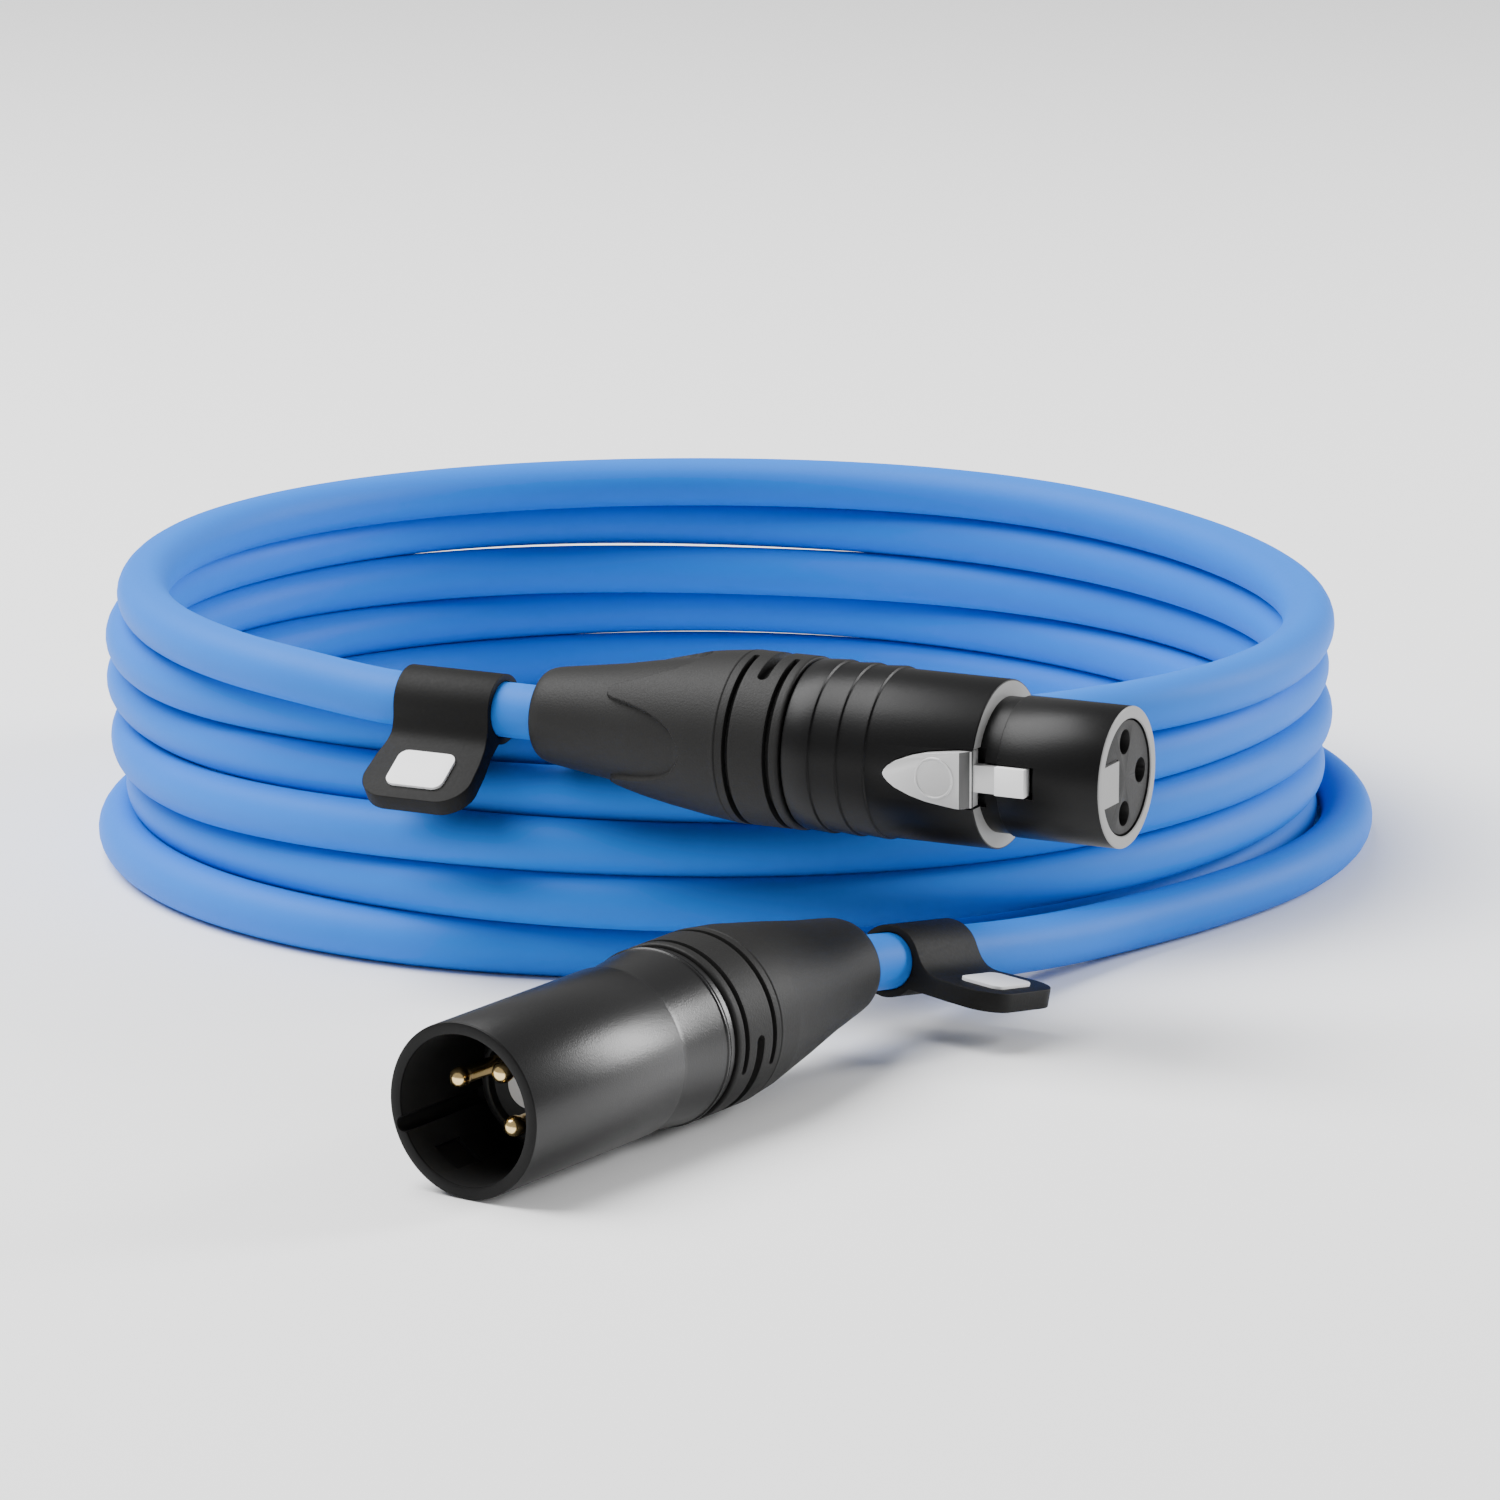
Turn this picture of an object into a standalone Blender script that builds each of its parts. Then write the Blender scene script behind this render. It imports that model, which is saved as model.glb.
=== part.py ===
"""Balanced microphone cable, wound in a coil and standing on the floor.

The cable has a female three-pole connector at one end and a male one at the
other, each with a die-cast shell, a contact carrier, contacts, a collet and a
screw-on bushing with a soft boot.  A rubber loop tag sits on the cable behind
each boot.  World frame: metres, +Z up, the floor is Z = 0.
Lengths below are in millimetres and are scaled by MM where meshes are made.
"""

import math

import bmesh
import bpy
from mathutils import Matrix, Vector

MM = 0.001
GAP = 0.3

# ----------------------------------------------------------------- the layout
# Plan positions are set out from a point near the coil's middle and then moved,
# so that the origin is the middle of the whole thing's footprint.
FOOT_CENTRE = (0.05, -45.32)


def placed(x, y, z):
    return (x - FOOT_CENTRE[0], y - FOOT_CENTRE[1], z)


# ---------------------------------------------------------------- the cable
CABLE_D = 6.3
CABLE_R = CABLE_D / 2
COIL_CENTRE = placed(-3.3, 0.0, 0.0)[:2]
COIL_R_OUT = 76.5
COIL_R_IN = 69.4
COIL_TOP = 34.2
COIL_SHELF = 20.6          # height of the coil where the female end lies over it
SHELF_FROM, SHELF_TO = 206.0, 288.0    # degrees round the coil

# ------------------------------------------------------- connector placement
FEMALE_FACE = placed(41.9, -102.2, 31.2)     # centre of the mating face
FEMALE_YAW = -26.33                    # heading of the mating direction, degrees
MALE_MOUTH = placed(-29.8, -161.8, 9.56)
MALE_YAW = 54.96 - 180.0
MALE_PITCH = -0.63                     # the mouth rim and the wider bushing both touch the floor
MALE_BEND_S = 69.0                     # where the cable starts to sag behind the male boot
MALE_SAG = 9.0                         # how far it sags there, degrees

# ------------------------------------------------------------ female shell
F_NOSE_R = 8.0
F_BORE_R = 6.65
F_COLLAR_S = 14.8          # distance of the collar face behind the mating face
F_COLLAR_R = 9.6
F_SHELL_END = 38.2
F_TAIL_END = 50.2
TAIL_R = 8.25
TAIL_BORE_R = 7.2
F_KEY_W = 4.7
F_KEY_IN = 2.35
LATCH_PLATE_W = 6.5
LATCH_TIP_S = 25.4
LATCH_PIVOT = (7.85, 23.4)  # distance from the axis, distance behind the face

# -------------------------------------------------------------- male shell
M_R = 9.5
M_BORE_R = 8.15
M_STEP_S = 26.4
M_SHELL_END = 35.5
M_TAIL_END = 47.5
M_CAVITY_S = 15.5

# -------------------------------------------------------- bushing and boot
BUSH_LEN = 34.7
BUSH_R = 9.95
BOOT_REAR_R = 5.4
BUSH_BORE_R = 8.55
BOOT_BORE_R = CABLE_R + 0.3

# ---------------------------------------------------------------- contacts
CONTACT_PCD_R = 4.1
SOCKET_R = 1.1
SOCKET_HOLE_R = 1.42
PIN_R = 1.17

# -------------------------------------------------------------------- tags
TAG_INNER_R = CABLE_R + 0.3
TAG_OUTER_R = 4.4
TAG_WIDTH = 12.6
TAG_REACH = 15.0           # from the cable's axis to the flap's end
TAG_THICK = 2.1
TAG_DROP = 3.0             # from the cable's axis to the flap's far side

STEPS = 40


# =============================================================== scaffolding
for old in list(bpy.data.objects):
    bpy.data.objects.remove(old, do_unlink=True)

parts_col = bpy.data.collections.new("microphone_cable_coil")
cutter_col = bpy.data.collections.new("cutters")
bpy.context.scene.collection.children.link(parts_col)
bpy.context.scene.collection.children.link(cutter_col)


def material(name, rgb, roughness, metallic=0.0):
    mat = bpy.data.materials.new(name)
    mat.use_nodes = True
    shader = mat.node_tree.nodes["Principled BSDF"]
    shader.inputs["Base Color"].default_value = (*rgb, 1.0)
    shader.inputs["Roughness"].default_value = roughness
    shader.inputs["Metallic"].default_value = metallic
    mat.diffuse_color = (*rgb, 1.0)
    return mat


def empty(name, location, rotation):
    obj = bpy.data.objects.new(name, None)
    obj.empty_display_size = 0.01
    parts_col.objects.link(obj)
    obj.matrix_world = Matrix.Translation(Vector(location) * MM) @ rotation.to_4x4()
    return obj


def add(obj, parent=None, mat=None, cutter=False):
    """Put an object in its collection, on its parent and with its material."""
    (cutter_col if cutter else parts_col).objects.link(obj)
    if parent is not None:
        obj.parent = parent
    if mat is not None:
        obj.data.materials.append(mat)
    if cutter:
        obj.hide_render = True
        obj.display_type = "WIRE"
    return obj


def ring(name, profile, parent=None, mat=None, steps=STEPS, cutter=False, closed=True):
    """Turn a profile of (radius, height) points about the parent's Z axis.

    The points run down the outer side first, so the faces point out.  A closed
    profile makes a tube or ring; an open one starts and ends on the axis."""
    mesh = bpy.data.meshes.new(name)
    verts = [(r * MM, 0.0, z * MM) for r, z in profile]
    edges = [(i, i + 1) for i in range(len(verts) - 1)]
    if closed:
        edges.append((len(verts) - 1, 0))
    mesh.from_pydata(verts, edges, [])
    obj = bpy.data.objects.new(name, mesh)
    add(obj, parent, mat, cutter)
    turn = obj.modifiers.new("turn", "SCREW")
    turn.axis = "Z"
    turn.angle = 2 * math.pi
    turn.steps = steps
    turn.render_steps = steps
    turn.use_merge_vertices = True
    turn.merge_threshold = 0.00001
    turn.use_smooth_shade = True
    if not closed:
        weld = obj.modifiers.new("weld", "WELD")
        weld.merge_threshold = 0.00001
    return obj


def box(name, size, centre, parent=None, mat=None, cutter=False, turn=None, bevel=0.0):
    bm = bmesh.new()
    bmesh.ops.create_cube(bm, size=1.0)
    bmesh.ops.scale(bm, vec=Vector(size) * MM, verts=bm.verts)
    if turn is not None:
        bmesh.ops.rotate(bm, cent=(0, 0, 0), matrix=turn, verts=bm.verts)
    bmesh.ops.translate(bm, vec=Vector(centre) * MM, verts=bm.verts)
    mesh = bpy.data.meshes.new(name)
    bm.to_mesh(mesh)
    bm.free()
    obj = add(bpy.data.objects.new(name, mesh), parent, mat, cutter)
    if bevel:
        round_off = obj.modifiers.new("round", "BEVEL")
        round_off.width = bevel * MM
        round_off.segments = 2
        round_off.limit_method = "ANGLE"
    return obj


def rod(name, radius, length, centre, turn=None, parent=None, mat=None, cutter=False, segments=20, radius2=None):
    """A cylinder, or a cone when radius2 is given, about its own Z."""
    bm = bmesh.new()
    bmesh.ops.create_cone(
        bm, cap_ends=True, segments=segments,
        radius1=radius * MM, radius2=(radius if radius2 is None else radius2) * MM, depth=length * MM,
    )
    if turn is not None:
        bmesh.ops.rotate(bm, cent=(0, 0, 0), matrix=turn, verts=bm.verts)
    bmesh.ops.translate(bm, vec=Vector(centre) * MM, verts=bm.verts)
    mesh = bpy.data.meshes.new(name)
    bm.to_mesh(mesh)
    bm.free()
    mesh.shade_smooth()
    mesh.set_sharp_from_angle(angle=math.radians(35))
    return add(bpy.data.objects.new(name, mesh), parent, mat, cutter)


def as_mesh(curve_obj, name, cutter=False, mat=None, parent=None, matrix=None):
    """Turn a curve object into a welded mesh, so that it can be cut and joined."""
    bpy.context.view_layer.update()
    depsgraph = bpy.context.evaluated_depsgraph_get()
    mesh = bpy.data.meshes.new_from_object(curve_obj.evaluated_get(depsgraph))
    bm = bmesh.new()
    bm.from_mesh(mesh)
    bmesh.ops.remove_doubles(bm, verts=bm.verts, dist=0.000002)
    if matrix is not None:
        bmesh.ops.transform(bm, matrix=matrix, verts=bm.verts)
    bmesh.ops.recalc_face_normals(bm, faces=bm.faces)
    bm.to_mesh(mesh)
    bm.free()
    mesh.name = name
    mesh.materials.clear()
    curve = curve_obj.data
    bpy.data.objects.remove(curve_obj, do_unlink=True)
    bpy.data.curves.remove(curve)
    return add(bpy.data.objects.new(name, mesh), parent, mat, cutter)


def plate(name, outlines, thickness, parent=None, mat=None, cutter=False, matrix=None):
    """A flat outline (first one outside, the rest holes) in XY, thickened about Z = 0."""
    curve = bpy.data.curves.new(name + "_outline", "CURVE")
    curve.dimensions = "2D"
    curve.fill_mode = "BOTH"
    curve.extrude = thickness / 2 * MM
    for outline in outlines:
        spline = curve.splines.new("POLY")
        spline.points.add(len(outline) - 1)
        for point, (x, y) in zip(spline.points, outline):
            point.co = (x * MM, y * MM, 0.0, 1.0)
        spline.use_cyclic_u = True
    obj = bpy.data.objects.new(name + "_outline", curve)
    parts_col.objects.link(obj)
    return as_mesh(obj, name, cutter, mat, parent, matrix)


def tube(name, points, radius, mat, resolution=2):
    """A round lead along world points in millimetres, with flat end caps."""
    curve = bpy.data.curves.new(name, "CURVE")
    curve.dimensions = "3D"
    curve.bevel_depth = radius * MM
    curve.bevel_resolution = resolution
    curve.use_fill_caps = True
    spline = curve.splines.new("POLY")
    spline.points.add(len(points) - 1)
    for point, co in zip(spline.points, points):
        point.co = (co[0] * MM, co[1] * MM, co[2] * MM, 1.0)
    spline.use_smooth = True
    return add(bpy.data.objects.new(name, curve), None, mat)


def boolean(obj, other, operation="DIFFERENCE"):
    step = obj.modifiers.new(operation.lower() + "_" + other.name, "BOOLEAN")
    step.operation = operation
    step.object = other
    step.solver = "EXACT"
    return step


def arc(radius, start, end, count, centre=(0.0, 0.0)):
    return [
        (centre[0] + radius * math.cos(math.radians(start + (end - start) * i / (count - 1))),
         centre[1] + radius * math.sin(math.radians(start + (end - start) * i / (count - 1))))
        for i in range(count)
    ]


def smooth_path(knots, spacing):
    """Catmull-Rom curve through the knots, read off at an even spacing."""
    pts = [Vector(k) for k in knots]
    pts = [2 * pts[0] - pts[1]] + pts + [2 * pts[-1] - pts[-2]]
    fine = []
    for a, b, c, d in zip(pts, pts[1:], pts[2:], pts[3:]):
        for i in range(40):
            t = i / 40
            fine.append(0.5 * ((2 * b) + (c - a) * t + (2 * a - 5 * b + 4 * c - d) * t * t
                               + (3 * b - a - 3 * c + d) * t ** 3))
    fine.append(pts[-2])
    run = [0.0]
    for p, q in zip(fine, fine[1:]):
        run.append(run[-1] + (q - p).length)
    count = max(2, round(run[-1] / spacing))
    out, j = [], 0
    for i in range(count + 1):
        want = run[-1] * i / count
        while j < len(run) - 2 and run[j + 1] < want:
            j += 1
        t = (want - run[j]) / max(run[j + 1] - run[j], 1e-9)
        out.append(fine[j].lerp(fine[j + 1], t))
    return out


# ================================================================= materials
jacket_blue = material("jacket_blue", (0.065, 0.28, 0.72), 0.38)
shell_black = material("shell_black", (0.012, 0.012, 0.013), 0.25, 0.3)
boot_charcoal = material("boot_charcoal", (0.045, 0.044, 0.043), 0.6)
carrier_grey = material("carrier_grey", (0.09, 0.09, 0.09), 0.5)
latch_nickel = material("latch_nickel", (0.62, 0.62, 0.63), 0.3, 1.0)
contact_gold = material("contact_gold", (0.85, 0.62, 0.28), 0.22, 1.0)
spring_steel = material("spring_steel", (0.5, 0.5, 0.52), 0.3, 1.0)
collet_white = material("collet_white", (0.75, 0.74, 0.7), 0.5)
tag_rubber = material("tag_rubber", (0.022, 0.021, 0.02), 0.55)
mark_white = material("mark_white", (0.82, 0.82, 0.84), 0.45)
core_red = material("core_red", (0.55, 0.03, 0.03), 0.4)
core_white = material("core_white", (0.8, 0.8, 0.78), 0.4)
shield_copper = material("shield_copper", (0.75, 0.42, 0.22), 0.35, 1.0)


# ================================================== the two connector frames
def connector_rotation(yaw, pitch, side):
    """Local Z is the mating direction; side gives local X."""
    cy, sy = math.cos(math.radians(yaw)), math.sin(math.radians(yaw))
    cp, sp = math.cos(math.radians(pitch)), math.sin(math.radians(pitch))
    z = Vector((cy * cp, sy * cp, sp))
    if side == "latch":
        x = Vector((sy, -cy, 0.0))          # level, out from the coil
    else:
        x = Vector((-cy * sp, -sy * sp, cp))  # up
    y = z.cross(x)
    return Matrix((x, y, z)).transposed()


female = empty("female_axis", FEMALE_FACE, connector_rotation(FEMALE_YAW, 0.0, "latch"))
male = empty("male_axis", MALE_MOUTH, connector_rotation(MALE_YAW, MALE_PITCH, "up"))


def on_axis(frame, s):
    """World point, in millimetres, at a distance s behind a connector's face."""
    return (frame.matrix_world @ Vector((0.0, 0.0, -s * MM))) / MM


male_lead = empty("male_lead_axis", on_axis(male, MALE_BEND_S), connector_rotation(MALE_YAW, MALE_PITCH + MALE_SAG, "up"))


bpy.context.view_layer.update()


def facing(distance):
    """Matrix that stands a plate on its edge: outline x is the distance behind
    the face, outline y is local Y, and its thickness runs along local X."""
    m = Matrix(((0, 0, 1, distance * MM), (0, 1, 0, 0), (-1, 0, 0, 0), (0, 0, 0, 1)))
    return m


# ============================================================ female connector
shell = ring("female_shell", [
    (F_NOSE_R - 0.25, 0.0), (F_NOSE_R, -0.25), (F_NOSE_R, -12.5), (F_NOSE_R - 0.35, -12.6),
    (F_NOSE_R - 0.35, -F_COLLAR_S), (F_COLLAR_R - 0.25, -F_COLLAR_S), (F_COLLAR_R, -F_COLLAR_S - 0.25),
    (F_COLLAR_R, -27.8), (9.88, -28.2), (9.62, -31.3), (9.9, -31.7), (9.64, -34.7), (9.93, -35.1),
    (9.75, -F_SHELL_END + 0.2), (9.6, -F_SHELL_END), (TAIL_R, -F_SHELL_END), (TAIL_R, -F_TAIL_END),
    (TAIL_BORE_R, -F_TAIL_END), (TAIL_BORE_R, -22.0), (F_BORE_R, -22.0), (F_BORE_R, 0.0),
], female, shell_black)
key = box("female_key", (4.6, F_KEY_W, 17.0), (F_KEY_IN + 2.3, 0, -8.5), female, cutter=True)
boolean(shell, key, "UNION")
# window for the lever and its lug, and the slot for its tongue and hook
THUMB = [(16.5, 3.2), (18.3, 2.99), (20.2, 2.72), (22.05, 2.24), (23.9, 1.5), (24.7, 0.95), (LATCH_TIP_S - 0.1, 0.4)]
bullet = [(14.0, LATCH_PLATE_W / 2 + 0.35)] + [(s, w + 0.32) for s, w in THUMB[:-1]] + [(LATCH_TIP_S + 0.35, 0.5)]
window_outline = bullet + [(s, -w) for s, w in reversed(bullet)]
window = plate("latch_window", [window_outline], 6.4, female, cutter=True, matrix=facing(9.45))
boolean(shell, window)
slot = box("hook_slot", (5.0, 3.8, 9.9), (7.6, 0, -12.75), female, cutter=True)
boolean(shell, slot)
pin_hole = rod("pivot_hole", 0.55, 9.6, (LATCH_PIVOT[0], 0, -LATCH_PIVOT[1]),
               Matrix.Rotation(math.pi / 2, 3, "X"), female, cutter=True, segments=12)
boolean(shell, pin_hole)

insert = ring("female_insert", [
    (6.35, -0.3), (6.35, -21.9), (2.0, -21.9), (2.0, -20.4), (1.2, -20.4), (1.2, -2.0), (1.0, -0.3),
], female, carrier_grey, steps=32)
core = rod("female_insert_core", 1.6, 21.3, (0, 0, -0.3 - 10.65), None, female, cutter=True, segments=16)
boolean(insert, core, "UNION")
notch = box("female_insert_notch", (6.0, F_KEY_W + 0.6, 18.0), (F_KEY_IN + 2.7, 0, -8.6), female, cutter=True)
boolean(insert, notch)

for n, angle in enumerate((86.0, -86.0, 180.0), 1):
    cx = CONTACT_PCD_R * math.cos(math.radians(angle))
    cy = CONTACT_PCD_R * math.sin(math.radians(angle))
    hole = rod("socket_hole_%d" % n, SOCKET_HOLE_R, 24.0, (cx, cy, -11.0), None, female, cutter=True, segments=16)
    boolean(insert, hole)
    socket = ring("female_contact_%d" % n, [
        (SOCKET_R, -3.2), (SOCKET_R, -21.0), (SOCKET_R, -27.8), (0.78, -27.8), (0.78, -23.0),
        (0.3, -23.0), (0.3, -13.5), (0.8, -13.2), (0.8, -3.2),
    ], female, contact_gold, steps=16)
    socket.location = (cx * MM, cy * MM, 0.0)

STRIP_ON_EDGE = Matrix(((0, 1, 0, 0), (0, 0, 1, 0), (-1, 0, 0, 0), (0, 0, 0, 1)))
# outline x is the distance behind the face, outline y is local X
plate("female_ground_contact", [[(22.3, -5.6), (22.7, -5.6), (22.7, -6.2), (27.2, -6.2), (28.6, -5.9), (28.6, -6.3),
                                 (27.2, -6.6), (22.3, -6.6)]], 3.4, female, spring_steel, matrix=STRIP_ON_EDGE)

# the latch: thumb plate, front cheek, tongue and hook in one casting
latch_frame = empty("latch_pivot", (0, 0, 0), Matrix.Identity(3))
latch_frame.parent = female
latch_frame.matrix_world = female.matrix_world @ Matrix.Translation(
    Vector((LATCH_PIVOT[0] * MM, 0, -LATCH_PIVOT[1] * MM)))
bpy.context.view_layer.update()
to_latch = Matrix.Translation(Vector((-LATCH_PIVOT[0] * MM, 0, LATCH_PIVOT[1] * MM)))
W2 = LATCH_PLATE_W / 2
thumb = [(F_COLLAR_S + 0.05, W2)] + THUMB
lever = plate("female_latch", [thumb + [(s, -w) for s, w in reversed(thumb)]], 1.35, latch_frame, latch_nickel,
              matrix=to_latch @ facing(9.3))
for name, size, centre in (
    ("latch_cheek", (1.9, 2 * W2 - 0.02, 1.5), (8.3, 0, -F_COLLAR_S - 0.82)),
    ("latch_tongue", (1.15, 3.0, 5.2), (7.85, 0, -13.6)),
    ("latch_hook", (2.1, 2.95, 3.7), (8.2, 0, -10.15)),
    ("latch_lug", (1.9, 2.2, 3.0), (8.0, 0, -LATCH_PIVOT[1])),
):
    piece = box(name, size, centre, None, cutter=True)
    piece.data.transform(to_latch)
    piece.parent = latch_frame
    boolean(lever, piece, "UNION")
lug_hole = rod("latch_lug_hole", 0.72, 5.0, (0, 0, 0), Matrix.Rotation(math.pi / 2, 3, "X"), latch_frame,
               cutter=True, segments=14)
boolean(lever, lug_hole)
rod("female_latch_pin", 0.42, 7.4, (LATCH_PIVOT[0], 0, -LATCH_PIVOT[1]), Matrix.Rotation(math.pi / 2, 3, "X"),
    female, spring_steel, segments=12)
# flat return spring: bows up from the carrier to the underside of the thumb plate
spring_side = [(16.9, 7.5), (17.3, 7.85), (18.6, 7.55), (20.2, 7.1), (21.6, 6.98)]
spring_line = spring_side + [(s, x - 0.3) for s, x in reversed(spring_side)]
plate("female_latch_spring", [spring_line], 2.0, female, spring_steel,
      matrix=STRIP_ON_EDGE)


# ============================================================== male connector
m_shell = ring("male_shell", [
    (M_R - 0.2, 0.0), (M_R, -0.2), (M_R, -M_STEP_S), (M_R - 0.25, -M_STEP_S - 0.1), (M_R - 0.2, -27.6),
    (9.8, -33.6), (9.88, -34.2), (9.6, -M_SHELL_END), (TAIL_R, -M_SHELL_END), (TAIL_R, -M_TAIL_END),
    (TAIL_BORE_R, -M_TAIL_END), (TAIL_BORE_R, -M_CAVITY_S), (M_BORE_R, -M_CAVITY_S),
    (M_BORE_R, -0.3), (M_BORE_R + 0.25, 0.0),
], male, shell_black, steps=48)


def male_dir(angle):
    """Direction from the axis at an angle from the level side (local Y) towards up (local X)."""
    return math.sin(math.radians(angle)), math.cos(math.radians(angle))


gx, gy = male_dir(-18.7)
keyway = rod("male_keyway", 1.05, 14.5, (gx * (M_BORE_R + 0.1), gy * (M_BORE_R + 0.1), -6.9), None, male,
             cutter=True, segments=16)
boolean(m_shell, keyway)
px, py = male_dir(-55.0)
pocket = box("male_latch_pocket", (1.5, 3.6, 4.2), (M_BORE_R - 0.15, 0, -5.2), male, cutter=True)
pocket.data.transform(Matrix.Rotation(math.atan2(py, px), 4, "Z"))
boolean(m_shell, pocket)

m_insert = ring("male_insert", [
    (5.9, -11.3), (6.1, -11.5), (6.1, -12.6), (6.9, -12.6), (6.9, -29.5), (2.2, -29.5), (2.2, -28.0), (0.9, -28.0),
    (0.9, -12.6), (5.3, -12.6), (5.3, -11.3),
], male, shell_black, steps=32)
m_core = rod("male_insert_core", 1.3, 15.4, (0, 0, -20.3), None, male, cutter=True, segments=16)
boolean(m_insert, m_core, "UNION")
# pale boss in the middle of the carrier
ring("male_boss", [(0.0, -10.9), (2.0, -10.9), (2.45, -11.2), (2.45, -12.3), (0.0, -12.3)], male, collet_white,
     steps=20, closed=False)

for n, angle in enumerate((30.6, -149.4, 120.6), 1):
    ux, uy = male_dir(angle)
    cx, cy = CONTACT_PCD_R * ux, CONTACT_PCD_R * uy
    hole = rod("pin_hole_%d" % n, PIN_R + GAP, 30.0, (cx, cy, -22.0), None, male, cutter=True, segments=16)
    boolean(m_insert, hole)
    pin = ring("male_pin_%d" % n, [
        (0.0, -3.15), (0.62, -3.3), (1.02, -3.7), (PIN_R, -4.3), (1.02, -4.95), (0.95, -5.5), (0.95, -11.6),
        (PIN_R, -12.0), (PIN_R, -35.0), (0.78, -35.0), (0.78, -30.5), (0.0, -30.5),
    ], male, contact_gold, steps=16, closed=False)
    pin.location = (cx * MM, cy * MM, 0.0)


# ============================================ collets, bushings, cable cores
def collet(prefix, frame, tail_end):
    """Clamps the jacket: a ring in the shell's tail, a cone behind it and three saw cuts."""
    z0 = -(tail_end - 7.0)
    end = -(tail_end + 12.5)
    piece = ring(prefix + "_chuck", [
        (6.85, z0), (6.85, -tail_end - 0.35), (7.75, -tail_end - 0.45), (7.75, -tail_end - 2.2),
        (4.55, end), (BOOT_BORE_R, end), (BOOT_BORE_R, z0 - 3.0), (5.2, z0),
    ], frame, collet_white, steps=30)
    for k in range(3):
        saw = box("%s_saw_%d" % (prefix, k), (9.0, 0.8, 9.0), (4.9, 0, end + 3.6), frame, cutter=True)
        saw.data.transform(Matrix.Rotation(math.radians(120 * k + 40), 4, "Z"))
        boolean(piece, saw)
    return piece


def bushing(prefix, frame, shell_end, flats, groove_angle):
    """Screw-on bushing with the soft boot moulded on it.

    Two part-round grooves, a slot between them on the other side, and a finger
    flat on the boot at each angle in flats."""
    s = shell_end + GAP
    t = lambda d: -(s + d)
    body = ring(prefix + "_bushing", [
        (BUSH_R - 0.15, t(0)), (BUSH_R, t(0.2)), (BUSH_R, t(8.0)), (9.6, t(8.4)), (8.3, t(16.5)), (7.0, t(23.5)),
        (BOOT_REAR_R + 0.45, t(31.0)), (BOOT_REAR_R - 0.05, t(33.2)), (4.6, t(BUSH_LEN - GAP)),
        (BOOT_BORE_R, t(BUSH_LEN - GAP)), (BOOT_BORE_R, t(26.6)), (4.95, t(25.2)), (8.1, t(13.4)),
        (BUSH_BORE_R, t(12.2)), (BUSH_BORE_R, t(0)),
    ], frame, boot_charcoal, steps=STEPS)
    for k, (centre, width, start, sweep) in enumerate((
        (1.45, 0.75, groove_angle - 95, 190), (6.6, 0.7, groove_angle - 95, 190),
        (4.0, 1.5, groove_angle + 72, 216),
    )):
        n = 17
        outline = arc(BUSH_R + 1.0, start, start + sweep, n) + arc(BUSH_R - 0.7, start + sweep, start, n)
        band = plate("%s_groove_%d" % (prefix, k), [outline], width, frame, cutter=True)
        band.location = (0, 0, t(centre) * MM)
        boolean(body, band)
    for k, degrees in enumerate(flats):
        angle = math.radians(degrees)
        flat = box("%s_flat_%d" % (prefix, k), (6.0, 16.0, 30.0), (0, 0, 0), frame, cutter=True)
        lean = Matrix.Rotation(math.radians(10.5), 4, "Y")
        move = Matrix.Translation(Vector((8.7 * MM, 0, t(28.0) * MM)))
        flat.data.transform(Matrix.Rotation(angle, 4, "Z") @ move @ lean)
        boolean(body, flat)
    return body


collet("female", female, F_TAIL_END)
collet("male", male, M_TAIL_END)
bushing("female", female, F_SHELL_END, (4, 94, 184, 274), 9.0)
bushing("male", male, M_SHELL_END, (), -19.0)


def cores(prefix, frame, jacket_end, cups_end, angles_xy):
    for (label, mat), (cx, cy) in zip((("shield", shield_copper), ("hot", core_red), ("cold", core_white)), angles_xy):
        knots = []
        for f in (0.0, 0.12, 0.35, 0.65, 0.88, 1.0):
            s = jacket_end - 0.4 - (jacket_end - 0.4 - cups_end - 0.35) * f
            ease = 3 * f * f - 2 * f ** 3
            k = 1.35 / CONTACT_PCD_R * (1 - ease) + ease
            knots.append((frame.matrix_world @ Vector((cx * k * MM, cy * k * MM, -s * MM))) / MM)
        tube("%s_core_%s" % (prefix, label), smooth_path(knots, 1.8), 0.6, mat, 2)


cores("female", female, 46.5, 27.8,
      [(CONTACT_PCD_R * math.cos(math.radians(a)), CONTACT_PCD_R * math.sin(math.radians(a))) for a in (86, -86, 180)])
cores("male", male, 46.5, 35.0, [(CONTACT_PCD_R * male_dir(a)[0], CONTACT_PCD_R * male_dir(a)[1])
                                 for a in (30.6, -149.4, 120.6)])


# ===================================================================== cable
cx0, cy0 = COIL_CENTRE


def around(radius, degrees, z):
    return (cx0 + radius * math.cos(math.radians(degrees)), cy0 + radius * math.sin(math.radians(degrees)), z)


coil_frame = empty("coil_centre", (cx0, cy0, 0.0), Matrix.Identity(3))
coil = ring("cable_coil", [
    (COIL_R_OUT - 2.2, COIL_TOP), (COIL_R_OUT - 0.6, COIL_TOP - 0.9), (COIL_R_OUT, COIL_TOP - 2.6),
    (COIL_R_OUT, 2.6), (COIL_R_OUT - 0.6, 0.9), (COIL_R_OUT - 2.2, 0.0),
    (COIL_R_IN + 2.2, 0.0), (COIL_R_IN + 0.6, 0.9), (COIL_R_IN, 2.6),
    (COIL_R_IN, COIL_TOP - 2.6), (COIL_R_IN + 0.6, COIL_TOP - 0.9), (COIL_R_IN + 2.2, COIL_TOP),
], coil_frame, jacket_blue, steps=72)
sector = [(0.0, 0.0)] + arc(110.0, SHELF_FROM, SHELF_TO, 9)
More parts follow.
